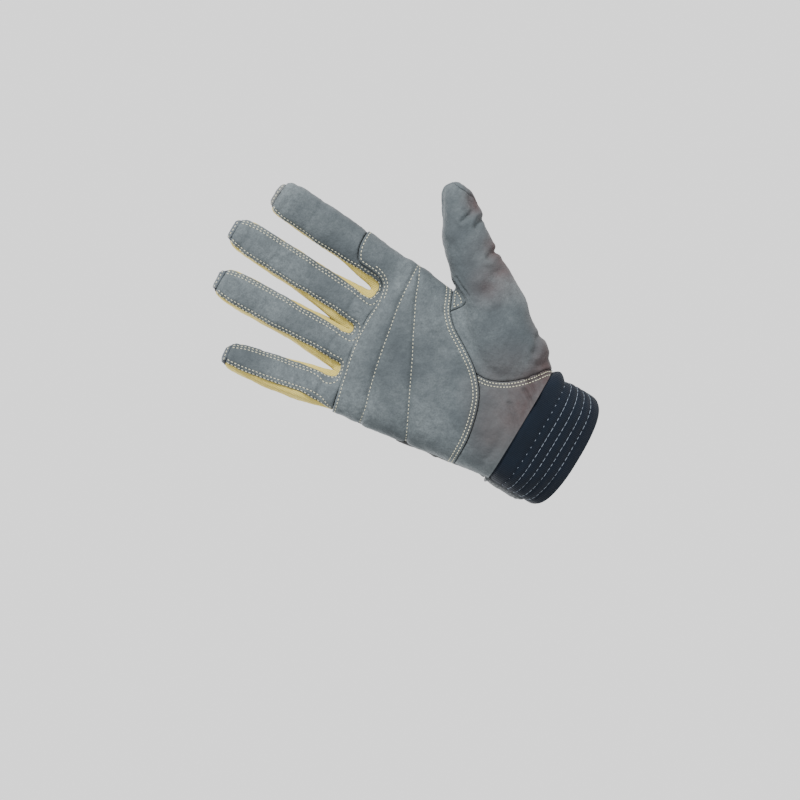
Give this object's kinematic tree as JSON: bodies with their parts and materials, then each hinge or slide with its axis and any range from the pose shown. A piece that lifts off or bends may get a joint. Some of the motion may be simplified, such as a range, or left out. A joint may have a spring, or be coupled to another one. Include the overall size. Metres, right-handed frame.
{
  "type": "aramid work glove",
  "caption": "Right-hand work glove with leather palm and fingers, aramid finger sides, stretch back and an elastic cuff with a tab, in the form it has on an open hand.",
  "frame": {"origin": "middle of the cuff's mouth, where the glove is held at the wrist", "axes": "+Z from the wrist to the middle fingertip, the palm faces -Y and the back of the hand +Y, the thumb is on the +X side"},
  "size_m": [0.1596, 0.0537, 0.239],
  "materials": {
    "palm_leather": "matte suede-like grey leather",
    "back_leather": "matte grey leather",
    "aramid_cloth": "fine yellow knit",
    "stretch_cloth": "navy stretch knit",
    "cuff_elastic": "ribbed navy elastic",
    "loop_cloth": "blue loop pile",
    "badge_rubber": "matte moulded rubber"
  },
  "bodies": {
    "root": {"palm_panel": "palm_leather", "heel_panel": "palm_leather", "thumb_gusset": "palm_leather", "thumb_front": "palm_leather", "thumb_back": "palm_leather", "finger_panel": "palm_leather", "index_front": "palm_leather", "fourchette_index_middle": "aramid_cloth", "fourchette_middle_ring": "aramid_cloth", "fourchette_ring_little": "aramid_cloth", "little_side_gusset": "aramid_cloth", "back_fabric": "stretch_cloth", "back_panel": "back_leather", "knuckle_panel": "back_leather", "badge": "badge_rubber", "cuff": "cuff_elastic", "loop_patch": "loop_cloth", "wrist_tab": "back_leather"}
  },
  "joints": []
}
